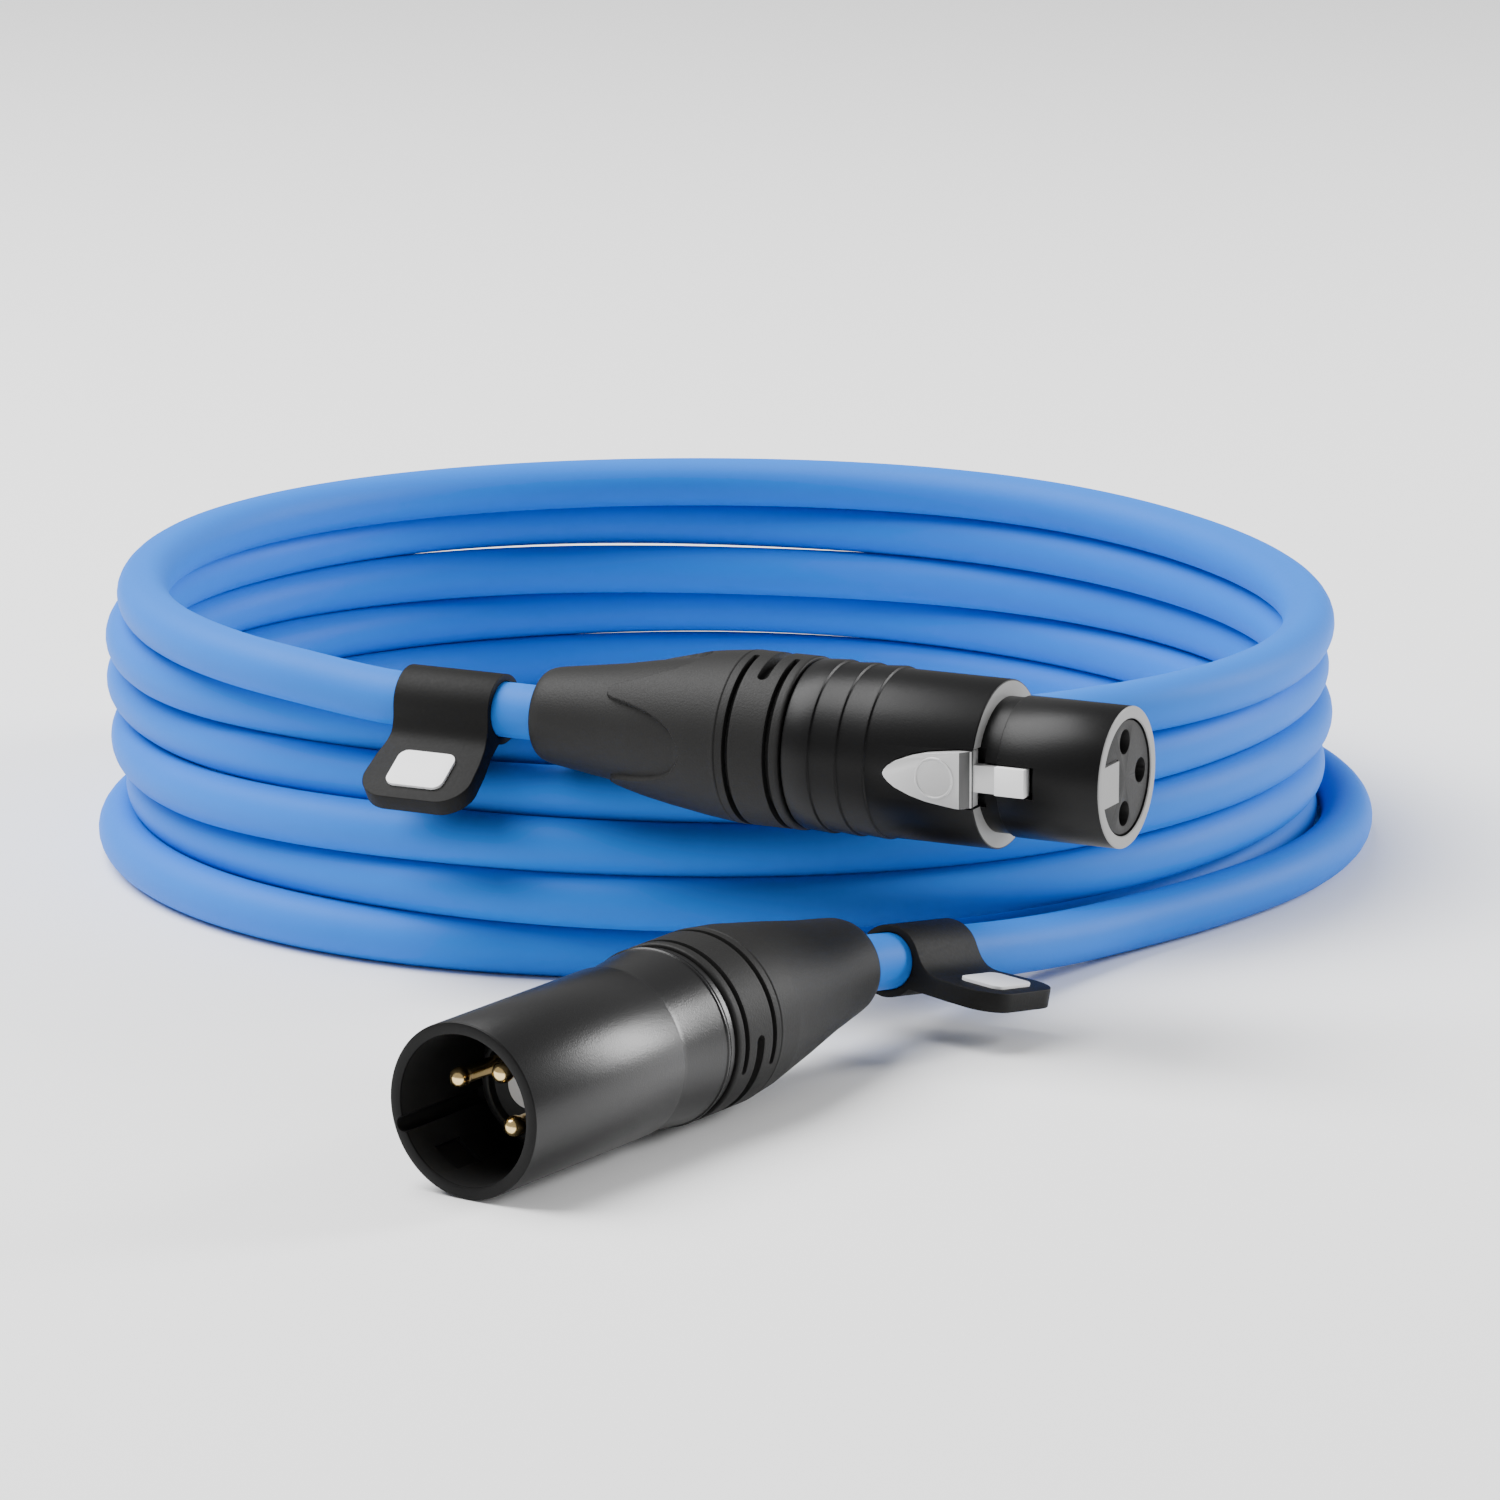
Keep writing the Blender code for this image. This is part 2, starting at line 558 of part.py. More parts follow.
shelf = plate("coil_shelf_cut", [sector], 40.0, coil_frame, cutter=True)
shelf.location = (0, 0, (COIL_SHELF + 20.0) * MM)
boolean(coil, shelf)

# lead into the female connector: leaves the coil at the shelf's end face
lead_knots = [around(73.0, SHELF_FROM + 0.55, 31.0 - 0.05), around(73.6, SHELF_FROM + 6, 31.1)]
lead_knots += [on_axis(female, s) for s in (99.0, 93.5, 80.0, 66.0, 52.0, 46.5)]
tube("cable_lead_female", smooth_path(lead_knots, 6.5), CABLE_R, jacket_blue, 3)

# outer loop on the floor, then up into the male connector
loop_knots = [around(COIL_R_OUT + CABLE_R + 0.45, a, CABLE_R) for a in range(62, -21, -12)]
loop_knots += [placed(*p) for p in ((63.9, -40.0, CABLE_R), (54.9, -49.6, CABLE_R + 0.1),
                                    (45.2, -58.4, CABLE_R + 0.35), (36.6, -68.2, 4.3))]
loop_knots += [on_axis(male_lead, s - MALE_BEND_S) for s in (99.0, 92.0, 84.0, 78.0, 73.0)]
loop_knots += [on_axis(male, s) for s in (67.5, 62.0, 52.0, 46.5)]
loop_path = smooth_path(loop_knots, 5.5)
tube("cable_loop_male", loop_path, CABLE_R, jacket_blue, 3)
# the coil's outer side gives way where the loop lies against it
channel = as_mesh(tube("coil_channel_path", [p - Vector(coil_frame.location) / MM for p in loop_path[:-8]],
                       CABLE_R + 0.45, None, 3), "coil_channel_cut", True, None, coil_frame)
boolean(coil, channel)


# ====================================================================== tags
def tag(prefix, frame, s_start, side, below):
    """Rubber loop tag: a collar on the cable and a flap, with a blank raised plate.

    side is the level direction the flap points to, below is the angle that it
    hangs under the level, in degrees."""
    d = (on_axis(frame, s_start + 1) - on_axis(frame, s_start)).normalized()
    up = Vector((0, 0, 1))
    out = d.cross(up).normalized() * side
    up = (up - d * up.dot(d)).normalized()
    b = math.radians(below)
    f = out * math.cos(b) - up * math.sin(b)
    m = out * math.sin(b) + up * math.cos(b)
    z = f.cross(m)
    hub = empty(prefix + "_tag_swivel", on_axis(frame, s_start + TAG_WIDTH / 2), Matrix((f, m, z)).transposed())
    lo, hi = -TAG_DROP, -TAG_DROP + TAG_THICK
    a_lo = math.degrees(math.asin(lo / TAG_OUTER_R))
    a_hi = 28.0
    top = (TAG_OUTER_R * math.cos(math.radians(a_hi)), TAG_OUTER_R * math.sin(math.radians(a_hi)))
    blend = []
    for i in range(1, 6):
        u = i / 6
        ease = 3 * u * u - 2 * u ** 3
        blend.append((top[0] + (7.6 - top[0]) * u, top[1] + (hi - top[1]) * ease))
    outline = [(TAG_REACH, lo + 0.3), (TAG_REACH, hi - 0.3), (TAG_REACH - 0.3, hi), (7.6, hi)]
    outline += list(reversed(blend))
    outline += arc(TAG_OUTER_R, a_hi, 360 + a_lo, 26)
    outline += [(TAG_REACH - 0.3, lo)]
    hole = arc(TAG_INNER_R, 0, 345, 24)
    body = plate(prefix + "_tag", [outline, hole], TAG_WIDTH, hub, tag_rubber)
    # round the flap's two free corners, seen from above the flap
    r = 3.4
    w = TAG_WIDTH / 2 + 0.4
    keep = [(-8.0, -w), (TAG_REACH + 0.2 - r, -w)]
    keep += arc(r, -90, 0, 6, (TAG_REACH + 0.1 - r, -w + 0.4 + r))
    keep += arc(r, 0, 90, 6, (TAG_REACH + 0.1 - r, w - 0.4 - r))
    keep += [(TAG_REACH + 0.2 - r, w), (-8.0, w)]
    mask = plate(prefix + "_tag_mask", [keep], 30.0, hub, cutter=True,
                 matrix=Matrix(((1, 0, 0, 0), (0, 0, 1, 0), (0, -1, 0, 0), (0, 0, 0, 1))))
    boolean(body, mask, "INTERSECT")
    mark = box(prefix + "_tag_mark", (4.2, 0.45, 7.6), (TAG_REACH - 4.6, hi + 0.3 + 0.225, 0.0), hub, mark_white)
    return hub


tag("female", female, 78.4, -1.0, 40.0)
tag("male", male_lead, 77.6 - MALE_BEND_S, 1.0, 9.0)
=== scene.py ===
"""Balanced microphone cable in a coil: the finished look of the part.

Lengths are in millimetres until a mesh is written; MM turns them to metres.
A connector's own frame has Z along its mating direction, so a place at a
distance s behind its face is at z = -s.
"""
import math

import bmesh
import bpy
import numpy as np
from mathutils import Matrix, Vector


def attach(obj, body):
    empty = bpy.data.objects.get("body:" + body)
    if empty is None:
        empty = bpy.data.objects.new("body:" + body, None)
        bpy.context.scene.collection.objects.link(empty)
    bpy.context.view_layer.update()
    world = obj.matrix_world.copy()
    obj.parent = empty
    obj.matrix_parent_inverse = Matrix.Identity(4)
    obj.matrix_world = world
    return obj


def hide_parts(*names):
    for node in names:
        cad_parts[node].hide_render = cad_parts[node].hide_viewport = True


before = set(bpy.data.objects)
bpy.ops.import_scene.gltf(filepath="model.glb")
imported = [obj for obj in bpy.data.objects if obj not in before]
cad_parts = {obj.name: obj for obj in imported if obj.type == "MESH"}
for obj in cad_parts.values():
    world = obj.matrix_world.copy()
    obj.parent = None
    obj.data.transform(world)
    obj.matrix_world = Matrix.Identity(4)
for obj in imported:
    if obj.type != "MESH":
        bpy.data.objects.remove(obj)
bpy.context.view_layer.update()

MM = 0.001
FOOT_CENTRE = (0.05, -45.32)
CABLE_R = 3.15
FEMALE_FACE = (41.9, -102.2, 31.2)
FEMALE_YAW = -26.33
MALE_MOUTH = (-29.8, -161.8, 9.56)
MALE_YAW = 54.96 - 180.0
MALE_PITCH = -0.63
MALE_BEND_S = 69.0
MALE_SAG = 9.0


def placed(x, y, z):
    return (x - FOOT_CENTRE[0], y - FOOT_CENTRE[1], z)


def connector_frame(face, yaw, pitch, side):
    cy, sy = math.cos(math.radians(yaw)), math.sin(math.radians(yaw))
    cp, sp = math.cos(math.radians(pitch)), math.sin(math.radians(pitch))
    z = Vector((cy * cp, sy * cp, sp))
    x = Vector((sy, -cy, 0.0)) if side == "latch" else Vector((-cy * sp, -sy * sp, cp))
    rot = Matrix((x, z.cross(x), z)).transposed().to_4x4()
    return Matrix.Translation(Vector(placed(*face)) * MM) @ rot


FEMALE = connector_frame(FEMALE_FACE, FEMALE_YAW, 0.0, "latch")
MALE = connector_frame(MALE_MOUTH, MALE_YAW, MALE_PITCH, "up")


def on_axis(conn, s):
    return (conn @ Vector((0.0, 0.0, -s * MM))) / MM


# the cable sags as it leaves the male boot
bend = on_axis(MALE, MALE_BEND_S)
MALE_LEAD = connector_frame((bend[0] + FOOT_CENTRE[0], bend[1] + FOOT_CENTRE[1], bend[2]), MALE_YAW,
                            MALE_PITCH + MALE_SAG, "up")


# ------------------------------------------------------------------ camera
cam_data = bpy.data.cameras.new("camera")
cam_data.sensor_width = 36.0
cam_data.lens = 7141.0 / 1500.0 * 36.0
cam_data.clip_start = 0.05
cam_data.clip_end = 20.0
camera = bpy.data.objects.new("camera", cam_data)
camera.location = Vector(placed(0.0, -874.4, 210.9)) * MM
camera.rotation_euler = (math.radians(90.0 - 12.88), 0.0, 0.0)
bpy.context.scene.collection.objects.link(camera)
bpy.context.scene.camera = camera


# --------------------------------------------------------------- materials
def shader_base(name, rgb, roughness, metallic=0.0, **more):
    mat = bpy.data.materials.new(name)
    mat.use_nodes = True
    nodes, links = mat.node_tree.nodes, mat.node_tree.links
    bsdf = nodes["Principled BSDF"]
    bsdf.inputs["Base Color"].default_value = (*rgb, 1.0)
    bsdf.inputs["Roughness"].default_value = roughness
    bsdf.inputs["Metallic"].default_value = metallic
    bsdf.inputs["Specular IOR Level"].default_value = 0.3
    for key, value in more.items():
        bsdf.inputs[key.replace("_", " ")].default_value = value
    mat.diffuse_color = (*rgb, 1.0)
    return mat, nodes, links, bsdf


def noise(nodes, links, coords, scale, detail=3.0, rough=0.55):
    node = nodes.new("ShaderNodeTexNoise")
    node.inputs["Scale"].default_value = scale
    node.inputs["Detail"].default_value = detail
    node.inputs["Roughness"].default_value = rough
    links.new(coords, node.inputs["Vector"])
    return node


def finish(name, rgb, roughness, metallic=0.0, grain=2500.0, bump=0.03, tone=0.08, rough_swing=0.08,
           mottle=140.0, shine=0.3, **more):
    """A moulded or plated finish: fine grain in the surface, slow changes of tone and gloss."""
    mat, nodes, links, bsdf = shader_base(name, rgb, roughness, metallic, **more)
    bsdf.inputs["Specular IOR Level"].default_value = shine
    coords = nodes.new("ShaderNodeTexCoord").outputs["Object"]
    fine = noise(nodes, links, coords, grain, 4.0)
    slow = noise(nodes, links, coords, mottle, 3.0)
    ramp = nodes.new("ShaderNodeMapRange")
    ramp.inputs["To Min"].default_value = 1.0 - tone
    ramp.inputs["To Max"].default_value = 1.0 + tone
    links.new(slow.outputs["Fac"], ramp.inputs["Value"])
    mix = nodes.new("ShaderNodeMix")
    mix.data_type = "RGBA"
    mix.blend_type = "MULTIPLY"
    mix.inputs["Factor"].default_value = 1.0
    mix.inputs[6].default_value = (*rgb, 1.0)
    links.new(ramp.outputs["Result"], mix.inputs[7])
    links.new(mix.outputs[2], bsdf.inputs["Base Color"])
    gloss = nodes.new("ShaderNodeMapRange")
    gloss.inputs["To Min"].default_value = max(0.02, roughness - rough_swing)
    gloss.inputs["To Max"].default_value = min(1.0, roughness + rough_swing)
    links.new(fine.outputs["Fac"], gloss.inputs["Value"])
    links.new(gloss.outputs["Result"], bsdf.inputs["Roughness"])
    relief = nodes.new("ShaderNodeBump")
    relief.inputs["Strength"].default_value = bump
    relief.inputs["Distance"].default_value = 0.0001
    links.new(fine.outputs["Fac"], relief.inputs["Height"])
    links.new(relief.outputs["Normal"], bsdf.inputs["Normal"])
    return mat


jacket = finish("jacket_blue", (0.010, 0.165, 0.66), 0.56, grain=1400.0, bump=0.10, tone=0.02, rough_swing=0.05, shine=0.14)
shell_black = finish("shell_black", (0.0036, 0.0036, 0.0038), 0.38, grain=5200.0, bump=0.16, tone=0.10, rough_swing=0.06, shine=0.19)
shell_satin = finish("shell_satin", (0.0034, 0.0034, 0.0036), 0.32, grain=5200.0, bump=0.20, tone=0.10, rough_swing=0.05, shine=0.5)
# a glossier copy of the shell black with a lighter base colour, a painted highlight line on the male flare's rim bevel
shell_gloss_painted_highlight = finish("shell_gloss_painted_highlight", (0.008, 0.008, 0.0082), 0.24, grain=5200.0, bump=0.05, tone=0.06, rough_swing=0.04)
shell_inner = finish("shell_inner", (0.008, 0.008, 0.008), 0.45, grain=3000.0, bump=0.1)
bare_rim = finish("bare_rim", (0.25, 0.25, 0.247), 0.5, 0.15, grain=3600.0, bump=0.1, tone=0.05)
male_rim = finish("male_rim", (0.004, 0.004, 0.004), 0.45, grain=3600.0, bump=0.1, tone=0.05, shine=0.15)
boot_charcoal = finish("boot_charcoal", (0.0115, 0.0113, 0.0110), 0.55, grain=4200.0, bump=0.35, tone=0.07, shine=0.2)
carrier_grey = finish("carrier_grey", (0.020, 0.020, 0.020), 0.55, grain=3000.0, bump=0.12, tone=0.05, shine=0.15)
# the male carrier's own black; on the female carrier it also darkens the hole and notch walls, painted shade in the
# recesses
carrier_black_and_hole_shade = finish("carrier_black_and_hole_shade", (0.012, 0.012, 0.012), 0.4, grain=3000.0, bump=0.1)
latch_nickel = finish("latch_nickel", (0.62, 0.62, 0.62), 0.36, 0.45, grain=2600.0, bump=0.08, tone=0.04)
# painted shade: a darker copy of the latch nickel for the chamfered front slope, which lies in shade
latch_painted_shade = finish("latch_painted_shade", (0.09, 0.09, 0.09), 0.34, 0.45, grain=2600.0, bump=0.08, tone=0.04)
# painted highlight: the hook is nickel like the rest of the latch, coloured near-white and non-metal to stand in for
# its glint
hook_painted_highlight = finish("hook_painted_highlight", (0.97, 0.97, 0.97), 0.42, 0.0, grain=2600.0, bump=0.05, tone=0.02)
contact_gold = finish("contact_gold", (0.90, 0.66, 0.30), 0.20, 1.0, grain=2600.0, bump=0.03, tone=0.03)
spring_steel = finish("spring_steel", (0.5, 0.5, 0.52), 0.3, 1.0)
collet_white = finish("collet_white", (0.62, 0.62, 0.62), 0.5, grain=2000.0)
tag_rubber = finish("tag_rubber", (0.0058, 0.0057, 0.0055), 0.6, grain=2600.0, bump=0.25, tone=0.08, shine=0.14)
mark_white = finish("mark_white", (0.93, 0.93, 0.94), 0.45, grain=2500.0, bump=0.05, tone=0.02)
core_red = finish("core_red", (0.55, 0.03, 0.03), 0.4)
core_white = finish("core_white", (0.8, 0.8, 0.78), 0.4)
shield_copper = finish("shield_copper", (0.75, 0.42, 0.22), 0.35, 1.0)


# ---------------------------------------------------------------- helpers
visual = bpy.data.collections.new("visual")
bpy.context.scene.collection.children.link(visual)


def new_object(name, mesh, matrix, mats, body=None, replaces=()):
    obj = bpy.data.objects.new(name, mesh)
    obj.matrix_world = matrix
    visual.objects.link(obj)
    for mat in mats if isinstance(mats, (list, tuple)) else [mats]:
        mesh.materials.append(mat)
    if body:
        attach(obj, body)
        if replaces:
            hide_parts(*replaces)
    return obj


def settle(mesh, angle=38.0):
    bm = bmesh.new()
    bm.from_mesh(mesh)
    bmesh.ops.remove_doubles(bm, verts=bm.verts, dist=0.000001)
    bmesh.ops.recalc_face_normals(bm, faces=bm.faces)
    bm.to_mesh(mesh)
    bm.free()
    mesh.shade_smooth()
    mesh.set_sharp_from_angle(angle=math.radians(angle))
    return mesh


def lathe(name, profile, steps=96, mat_of=None, closed=True):
    """Mesh of a profile of (radius, z) turned about Z.  mat_of gives a material index for each run."""
    verts, faces, mats = [], [], []
    count = len(profile)
    for i in range(steps):
        a = 2 * math.pi * i / steps
        for r, z in profile:
            verts.append((r * math.cos(a) * MM, r * math.sin(a) * MM, z * MM))
    runs = count if closed else count - 1
    for i in range(steps):
        n = (i + 1) % steps
        for j in range(runs):
            k = (j + 1) % count
            quad = [i * count + j, n * count + j, n * count + k, i * count + k]
            corners = [verts[v] for v in quad]
            unique = []
            for v in quad:
                if verts[v] not in [verts[u] for u in unique]:
                    unique.append(v)
            if len(unique) > 2:
                faces.append(unique)
                mats.append(mat_of[j] if mat_of else 0)
    mesh = bpy.data.meshes.new(name)
    mesh.from_pydata(verts, [], faces)
    for poly, m in zip(mesh.polygons, mats):
        poly.material_index = m
    return settle(mesh)


def bool_mesh(mesh, cutters, name, angle=38.0, bevel=0.0, segments=2, mats=()):
    """mesh with each (operation, cutter mesh) applied, then its sharp edges rounded."""
    for mat in mats:
        mesh.materials.append(mat)
    base = bpy.data.objects.new(name + "_base", mesh)
    visual.objects.link(base)
    tools = []
    for operation, cutter in cutters:
        for mat in mats:
            cutter.materials.append(mat)
        tool = bpy.data.objects.new(name + "_tool", cutter)
        visual.objects.link(tool)
        tools.append(tool)
        step = base.modifiers.new("cut", "BOOLEAN")
        step.operation = operation
        step.object = tool
        step.solver = "EXACT"
    if bevel:
        step = base.modifiers.new("round", "BEVEL")
        step.width = bevel * MM
        step.segments = segments
        step.limit_method = "ANGLE"
        step.angle_limit = math.radians(40)
        step.harden_normals = False
    bpy.context.view_layer.update()
    depsgraph = bpy.context.evaluated_depsgraph_get()
    out = bpy.data.meshes.new_from_object(base.evaluated_get(depsgraph))
    for obj in [base] + tools:
        bpy.data.objects.remove(obj, do_unlink=True)
    if not mats:
        out.materials.clear()
    out.name = name
    out.shade_smooth()
    out.set_sharp_from_angle(angle=math.radians(angle))
    return out


def block(size, centre, turn=None, mat_index=0):
    bm = bmesh.new()
    bmesh.ops.create_cube(bm, size=1.0)
    bmesh.ops.scale(bm, vec=Vector(size) * MM, verts=bm.verts)
    if turn is not None:
        bmesh.ops.transform(bm, matrix=turn, verts=bm.verts)
    bmesh.ops.translate(bm, vec=Vector(centre) * MM, verts=bm.verts)
    mesh = bpy.data.meshes.new("block")
    for face in bm.faces:
        face.material_index = mat_index
    bm.to_mesh(mesh)
    bm.free()
    return mesh


def rod(radius, length, centre, turn=None, segments=32, mat_index=0):
    bm = bmesh.new()
    bmesh.ops.create_cone(bm, cap_ends=True, segments=segments, radius1=radius * MM, radius2=radius * MM,
                          depth=length * MM)
    if turn is not None:
        bmesh.ops.transform(bm, matrix=turn, verts=bm.verts)
    bmesh.ops.translate(bm, vec=Vector(centre) * MM, verts=bm.verts)
    mesh = bpy.data.meshes.new("rod")
    for face in bm.faces:
        face.material_index = mat_index
    bm.to_mesh(mesh)
    bm.free()
    return mesh


def prism(outlines, thickness, matrix):
    """A flat outline, the others being holes, thickened about its plane."""
    curve = bpy.data.curves.new("outline", "CURVE")
    curve.dimensions = "2D"
    curve.fill_mode = "BOTH"
    curve.extrude = thickness / 2 * MM
    for outline in outlines:
        spline = curve.splines.new("POLY")
        spline.points.add(len(outline) - 1)
        for point, (x, y) in zip(spline.points, outline):
            point.co = (x * MM, y * MM, 0.0, 1.0)
        spline.use_cyclic_u = True
    obj = bpy.data.objects.new("outline", curve)
    visual.objects.link(obj)
    bpy.context.view_layer.update()
    depsgraph = bpy.context.evaluated_depsgraph_get()
    mesh = bpy.data.meshes.new_from_object(obj.evaluated_get(depsgraph))
    bpy.data.objects.remove(obj, do_unlink=True)
    bpy.data.curves.remove(curve)
    mesh.transform(matrix)
    return settle(mesh)


def arc(radius, start, end, count, centre=(0.0, 0.0)):
    return [
        (centre[0] + radius * math.cos(math.radians(start + (end - start) * i / (count - 1))),
         centre[1] + radius * math.sin(math.radians(start + (end - start) * i / (count - 1))))
        for i in range(count)
    ]


def facing(distance):
    """Outline x is the distance behind the face, outline y is local Y, thickness is along local X."""
    return Matrix(((0, 0, 1, distance * MM), (0, 1, 0, 0), (-1, 0, 0, 0), (0, 0, 0, 1)))


STRIP_ON_EDGE = Matrix(((0, 1, 0, 0), (0, 0, 1, 0), (-1, 0, 0, 0), (0, 0, 0, 1)))


def spline_through(knots, spacing):
    """Smooth curve (centripetal Catmull-Rom) through the knots, read off at an even spacing."""
    p = np.array([tuple(k) for k in knots], float)
    p = np.vstack([2 * p[0] - p[1], p, 2 * p[-1] - p[-2]])
    fine = []
    for a, b, c, d in zip(p, p[1:], p[2:], p[3:]):
        t0 = 0.0
        t1 = t0 + math.sqrt(np.linalg.norm(b - a))
        t2 = t1 + math.sqrt(np.linalg.norm(c - b))
        t3 = t2 + math.sqrt(np.linalg.norm(d - c))
        for i in range(24):
            t = t1 + (t2 - t1) * i / 24
            a1 = (t1 - t) / (t1 - t0) * a + (t - t0) / (t1 - t0) * b
            a2 = (t2 - t) / (t2 - t1) * b + (t - t1) / (t2 - t1) * c
            a3 = (t3 - t) / (t3 - t2) * c + (t - t2) / (t3 - t2) * d
            b1 = (t2 - t) / (t2 - t0) * a1 + (t - t0) / (t2 - t0) * a2
            b2 = (t3 - t) / (t3 - t1) * a2 + (t - t1) / (t3 - t1) * a3
            fine.append((t2 - t) / (t2 - t1) * b1 + (t - t1) / (t2 - t1) * b2)
    fine.append(p[-2])
    fine = np.array(fine)
    run = np.concatenate([[0.0], np.cumsum(np.linalg.norm(np.diff(fine, axis=0), axis=1))])
    want = np.linspace(0.0, run[-1], max(2, round(run[-1] / spacing)) + 1)
    return np.stack([np.interp(want, run, fine[:, i]) for i in range(3)], axis=1), run[-1]


# ------------------------------------------------------------- the cable
# How the hand-laid turns lie: degrees wound on from the female connector,
# radius from the coil's middle, height of the cable's own middle.
LAY = (
    (0, 72.6, 31.8), (30, 73.9, 33.0), (60, 71.8, 33.4), (90, 71.4, 32.9), (120, 71.6, 32.1), (150, 72.1, 31.5),
    (180, 72.4, 31.0), (210, 72.2, 29.8), (240, 72.6, 29.2), (270, 73.9, 28.8), (300, 71.4, 28.4), (315, 68.7, 27.5),
    (330, 66.4, 26.5), (345, 65.4, 25.8), (360, 66.6, 26.1), (375, 69.9, 26.6), (390, 73.1, 26.7), (420, 74.0, 27.4),
    (450, 74.4, 27.3), (480, 75.0, 26.7), (510, 74.3, 25.5), (540, 73.1, 24.8), (570, 72.9, 23.5), (600, 72.1, 22.8),
    (630, 72.0, 22.7), (660, 72.5, 22.1), (690, 70.4, 21.6), (720, 69.6, 20.6), (750, 72.1, 20.4), (780, 74.6, 21.0),
    (810, 75.1, 21.0), (840, 73.2, 20.4), (870, 72.4, 19.2), (900, 73.9, 18.5), (930, 74.3, 17.3), (960, 72.6, 16.5),
    (990, 72.0, 16.4), (1020, 72.1, 15.8), (1050, 72.4, 15.6), (1080, 73.4, 15.5), (1110, 73.8, 14.2), (1140, 73.6, 14.8),
    (1170, 73.5, 14.9), (1200, 74.3, 14.1), (1230, 75.2, 13.5), (1260, 74.8, 12.2), (1290, 73.2, 11.0), (1320, 71.8, 10.2),
    (1350, 71.2, 10.0), (1380, 72.7, 9.65), (1410, 73.9, 9.56), (1440, 72.9, 9.26), (1470, 71.9, 8.2), (1500, 71.9, 8.7),
    (1530, 71.4, 8.9), (1560, 72.5, 8.0), (1590, 74.4, 7.1), (1620, 74.3, 5.9), (1650, 72.9, 4.7), (1680, 70.8, 3.9),
    (1710, 68.4, 3.6), (1740, 68.3, 3.5), (1770, 70.9, 3.2), (1800, 74.8, 3.1), (1830, 75.9, 3.2), (1860, 75.0, 3.1),
    (1890, 74.0, 3.1), (1920, 76.7, 3.1), (1950, 79.4, 3.2), (1980, 80.1, 3.2), (2010, 79.2, 3.2), (2040, 77.8, 3.2),
    (2070, 74.8, 3.1),
)
LAY_START = 236.0
LAY_CENTRE = (-3.0, 0.0)


def natural_spline(x, y, at):
    """Smooth curve y(x) with no kinks, through every point given."""
    n = len(x)
    h = np.diff(x)
    m = np.zeros((n, n))
    rhs = np.zeros(n)
    m[0, 0] = m[-1, -1] = 1.0
    for i in range(1, n - 1):
        m[i, i - 1], m[i, i], m[i, i + 1] = h[i - 1], 2 * (h[i - 1] + h[i]), h[i]
        rhs[i] = 6 * ((y[i + 1] - y[i]) / h[i] - (y[i] - y[i - 1]) / h[i - 1])
    k = np.linalg.solve(m, rhs)
    j = np.clip(np.searchsorted(x, at) - 1, 0, n - 2)
    a, b = x[j + 1] - at, at - x[j]
    return (k[j] * a ** 3 + k[j + 1] * b ** 3) / (6 * h[j]) + (y[j] / h[j] - k[j] * h[j] / 6) * a \
        + (y[j + 1] / h[j] - k[j + 1] * h[j] / 6) * b


JACKET_R = CABLE_R + 0.05
lay = np.array(LAY)
wound = np.arange(10.0, 2068.0, 7.5)
lay_r = natural_spline(lay[:, 0], lay[:, 1], wound)
lay_z = np.maximum(JACKET_R + 0.01, natural_spline(lay[:, 0], lay[:, 2], wound))
theta = np.radians(LAY_START - wound)
turns = [placed(LAY_CENTRE[0] + r * math.cos(t), LAY_CENTRE[1] + r * math.sin(t), z)
         for r, t, z in zip(lay_r, theta, lay_z)]
knots = [on_axis(FEMALE, s) for s in (46.5, 55.0, 64.0, 72.0, 80.0, 88.0, 93.5)]
knots += turns
knots += [placed(*p) for p in ((54.6, -47.4, JACKET_R), (42.8, -60.6, 3.5), (36.2, -69.3, 4.3), (29.9, -77.5, 5.4))]
knots += [on_axis(MALE_LEAD, s - MALE_BEND_S) for s in (92.5, 86.0, 79.0, 73.5)]
knots += [on_axis(MALE, s) for s in (67.5, 62.0, 53.0, 46.5)]
cable_points, cable_length = spline_through(knots, 2.4)
cable_points[:, 2] = np.maximum(cable_points[:, 2], JACKET_R + 0.01)

cable_curve = bpy.data.curves.new("cable", "CURVE")
cable_curve.dimensions = "3D"
cable_curve.bevel_depth = JACKET_R * MM
cable_curve.bevel_resolution = 12
cable_curve.use_fill_caps = True
run = cable_curve.splines.new("POLY")
run.points.add(len(cable_points) - 1)
for point, co in zip(run.points, cable_points):
    point.co = (co[0] * MM, co[1] * MM, co[2] * MM, 1.0)
run.use_smooth = True
cable_curve.materials.append(jacket)
cable = bpy.data.objects.new("cable", cable_curve)
visual.objects.link(cable)
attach(cable, "cable")
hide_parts("cable_coil", "cable_lead_female", "cable_loop_male")


# ------------------------------------------------- bushing with its boot
def step(x, edge, width):
    u = np.clip((x - edge) / width + 0.5, 0.0, 1.0)
    return u * u * (3 - 2 * u)


BUSH_REACH = 34.32


